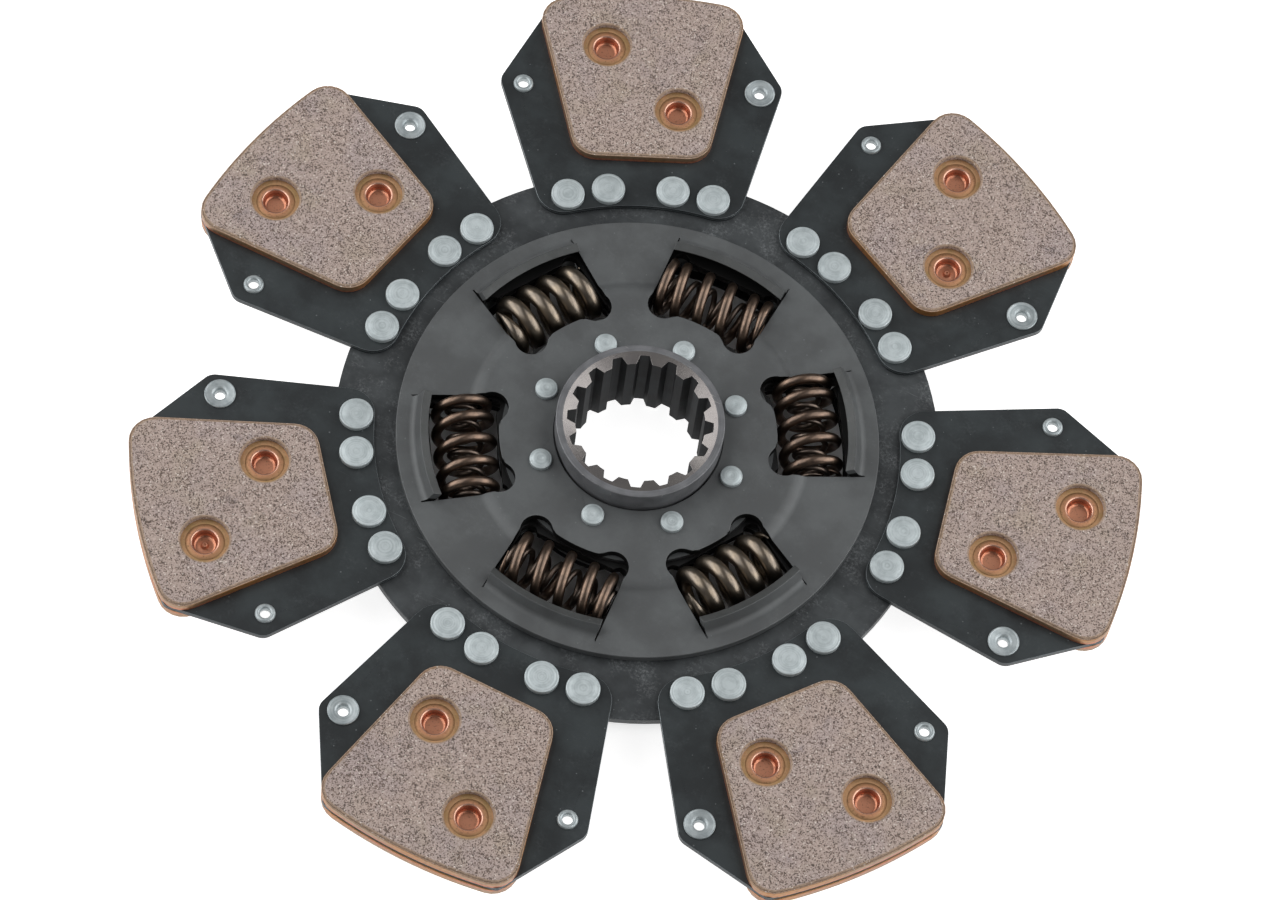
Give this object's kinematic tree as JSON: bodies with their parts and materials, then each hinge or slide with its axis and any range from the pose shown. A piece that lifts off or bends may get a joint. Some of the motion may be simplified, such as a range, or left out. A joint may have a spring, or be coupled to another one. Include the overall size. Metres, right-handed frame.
{
  "type": "clutch disc",
  "caption": "Torsion-damped clutch driven disc with flat steel paddles, sintered pads, coil damper springs and a splined hub",
  "frame": {"origin": "centre of the spline's mouth on the hub's rear end face", "axes": "+Z along the hub's axis to the face seen in the picture, -Y along the middle of the first paddle"},
  "size_m": [0.3094, 0.3041, 0.03],
  "materials": {
    "hub_steel": "machined, lightly oiled",
    "side_plate_steel": "pressed sheet, satin",
    "carrier_steel": "blackened sheet, scuffed",
    "paddle_steel": "blued sheet, oiled",
    "rivet_zinc": "zinc-plated, satin",
    "rivet_copper": "copper-plated steel",
    "copper_plate": "copper-plated tray, dull",
    "sintered_friction": "sintered bronze, fine speckle",
    "spring_steel": "oiled spring wire",
    "heavy_spring_steel": "oiled spring wire",
    "friction_material": "moulded friction ring"
  },
  "bodies": {
    "hub_body": {"hub": "hub_steel", "front_side_plate": "side_plate_steel", "rear_side_plate": "side_plate_steel", "hub_rivets": "rivet_zinc", "front_friction_ring": "friction_material", "rear_friction_ring": "friction_material", "spring_washer": "side_plate_steel", "spring_1": "spring_steel", "spring_2": "spring_steel", "spring_3": "heavy_spring_steel", "spring_4": "spring_steel", "spring_5": "spring_steel", "spring_6": "heavy_spring_steel", "inner_springs": "spring_steel"},
    "lining_body": {"carrier_disc": "carrier_steel", "front_plate_1": "paddle_steel", "front_plate_2": "paddle_steel", "front_plate_3": "paddle_steel", "front_plate_4": "paddle_steel", "front_plate_5": "paddle_steel", "front_plate_6": "paddle_steel", "front_plate_7": "paddle_steel", "back_plate_1": "paddle_steel", "back_plate_2": "paddle_steel", "back_plate_3": "paddle_steel", "back_plate_4": "paddle_steel", "back_plate_5": "paddle_steel", "back_plate_6": "paddle_steel", "back_plate_7": "paddle_steel", "front_tray_1": "copper_plate", "front_tray_2": "copper_plate", "front_tray_3": "copper_plate", "front_tray_4": "copper_plate", "front_tray_5": "copper_plate", "front_tray_6": "copper_plate", "front_tray_7": "copper_plate", "back_tray_1": "copper_plate", "back_tray_2": "copper_plate", "back_tray_3": "copper_plate", "back_tray_4": "copper_plate", "back_tray_5": "copper_plate", "back_tray_6": "copper_plate", "back_tray_7": "copper_plate", "front_pad_1": "sintered_friction", "front_pad_2": "sintered_friction", "front_pad_3": "sintered_friction", "front_pad_4": "sintered_friction", "front_pad_5": "sintered_friction", "front_pad_6": "sintered_friction", "front_pad_7": "sintered_friction", "back_pad_1": "sintered_friction", "back_pad_2": "sintered_friction", "back_pad_3": "sintered_friction", "back_pad_4": "sintered_friction", "back_pad_5": "sintered_friction", "back_pad_6": "sintered_friction", "back_pad_7": "sintered_friction", "carrier_rivets": "rivet_zinc", "pad_rivets": "rivet_copper", "eyelets": "rivet_zinc"}
  },
  "joints": [
    {"name": "damper_twist", "type": "hinge", "parent": "hub_body", "child": "lining_body", "pos_m": [0, 0, 0.0147], "axis": [0, 0, 1], "range_deg": [-4, 4], "stiffness_Nm_per_rad": 1500, "deforming": ["spring_1", "spring_2", "spring_3", "spring_4", "spring_5", "spring_6", "inner_springs"]}
  ]
}
